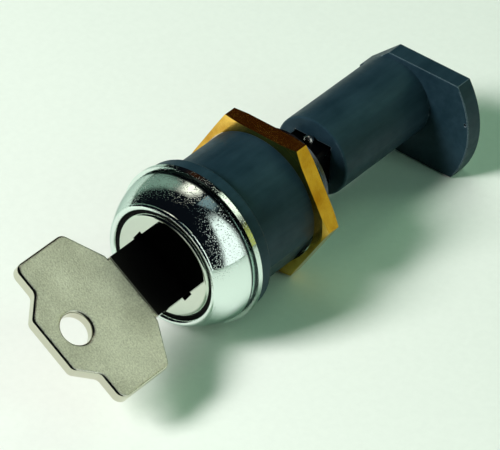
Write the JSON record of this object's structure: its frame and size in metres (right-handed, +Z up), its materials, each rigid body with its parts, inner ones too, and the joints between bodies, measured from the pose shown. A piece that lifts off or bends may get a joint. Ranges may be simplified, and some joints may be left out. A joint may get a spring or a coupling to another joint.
{
  "type": "key operated battery switch",
  "caption": "Panel-mounted key switch: chromed bezel, flat key, threaded barrel with hex nut and a turning rear sleeve whose one-sided tongue works the switch.",
  "frame": {"origin": "on the lock's axis, at the plane of the head flange's rear face, which seats on the panel", "axes": "+Y along the axis from the key towards the rear, +X to the right seen from the key side, +Z up"},
  "size_m": [0.028, 0.0838, 0.026],
  "materials": {
    "dark_nylon": "satin, moulded",
    "chrome_plate": "bright plated, slightly uneven",
    "polished_plug": "polished",
    "key_nickel": "nickel plated, fine grain",
    "nut_brass": "turned",
    "wafer_brass": "stamped",
    "black_steel": "blackened",
    "bright_steel": "zinc plated",
    "black_rubber": "matt"
  },
  "bodies": {
    "housing": {"barrel": "dark_nylon", "bezel": "chrome_plate", "wiper_ring": "black_rubber", "stop_pin": "bright_steel"},
    "nut": {"hex_nut": "nut_brass"},
    "core": {"plug": "polished_plug", "plug_seal": "black_rubber", "spindle": "black_steel", "cross_pin": "bright_steel", "thrust_washer": "bright_steel", "retaining_clip": "bright_steel", "detent_spring": "bright_steel", "drive_sleeve": "dark_nylon", "sleeve_screw": "bright_steel", "lock_washer": "bright_steel", "wafer_spring_1": "bright_steel", "wafer_spring_2": "bright_steel", "wafer_spring_3": "bright_steel", "wafer_spring_4": "bright_steel", "wafer_spring_5": "bright_steel"},
    "key": {"key": "key_nickel"},
    "ball": {"detent_ball": "bright_steel"},
    "wafer_1": {"wafer_1": "wafer_brass"},
    "wafer_2": {"wafer_2": "wafer_brass"},
    "wafer_3": {"wafer_3": "wafer_brass"},
    "wafer_4": {"wafer_4": "wafer_brass"},
    "wafer_5": {"wafer_5": "wafer_brass"}
  },
  "joints": [
    {"name": "key_turn", "type": "hinge", "parent": "housing", "child": "core", "pos_m": [0, 0, 0], "axis": [0, 1, 0], "range_deg": [0, 90]},
    {"name": "key_withdraw", "type": "slide", "parent": "core", "child": "key", "axis": [0, -1, 0], "range_m": [0, 0.024]},
    {"name": "nut_spin", "type": "hinge", "parent": "housing", "child": "nut", "pos_m": [0, 0.0135, 0], "axis": [0, 1, 0], "continuous": true},
    {"name": "ball_press", "type": "slide", "parent": "core", "child": "ball", "axis": [0, 0, -1], "range_m": [0, 0.0007], "stiffness_N_per_m": 400, "springref_m": -0.001, "deforming": ["detent_spring"]},
    {"name": "wafer_1_slide", "type": "slide", "parent": "core", "child": "wafer_1", "axis": [0.8434, 0, -0.5373], "range_m": [0, 0.0008], "deforming": ["wafer_spring_1"]},
    {"name": "wafer_2_slide", "type": "slide", "parent": "core", "child": "wafer_2", "axis": [-0.8434, 0, 0.5373], "range_m": [0, 0.0008], "deforming": ["wafer_spring_2"]},
    {"name": "wafer_3_slide", "type": "slide", "parent": "core", "child": "wafer_3", "axis": [0.8434, 0, -0.5373], "range_m": [0, 0.0008], "deforming": ["wafer_spring_3"]},
    {"name": "wafer_4_slide", "type": "slide", "parent": "core", "child": "wafer_4", "axis": [-0.8434, 0, 0.5373], "range_m": [0, 0.0008], "deforming": ["wafer_spring_4"]},
    {"name": "wafer_5_slide", "type": "slide", "parent": "core", "child": "wafer_5", "axis": [0.8434, 0, -0.5373], "range_m": [0, 0.0008], "deforming": ["wafer_spring_5"]}
  ],
  "couplings": [
    {"joint": "wafer_1_slide", "follows": "key_withdraw", "ratio": 0.033333},
    {"joint": "wafer_2_slide", "follows": "key_withdraw", "ratio": 0.033333},
    {"joint": "wafer_3_slide", "follows": "key_withdraw", "ratio": 0.033333},
    {"joint": "wafer_4_slide", "follows": "key_withdraw", "ratio": 0.033333},
    {"joint": "wafer_5_slide", "follows": "key_withdraw", "ratio": 0.033333}
  ]
}
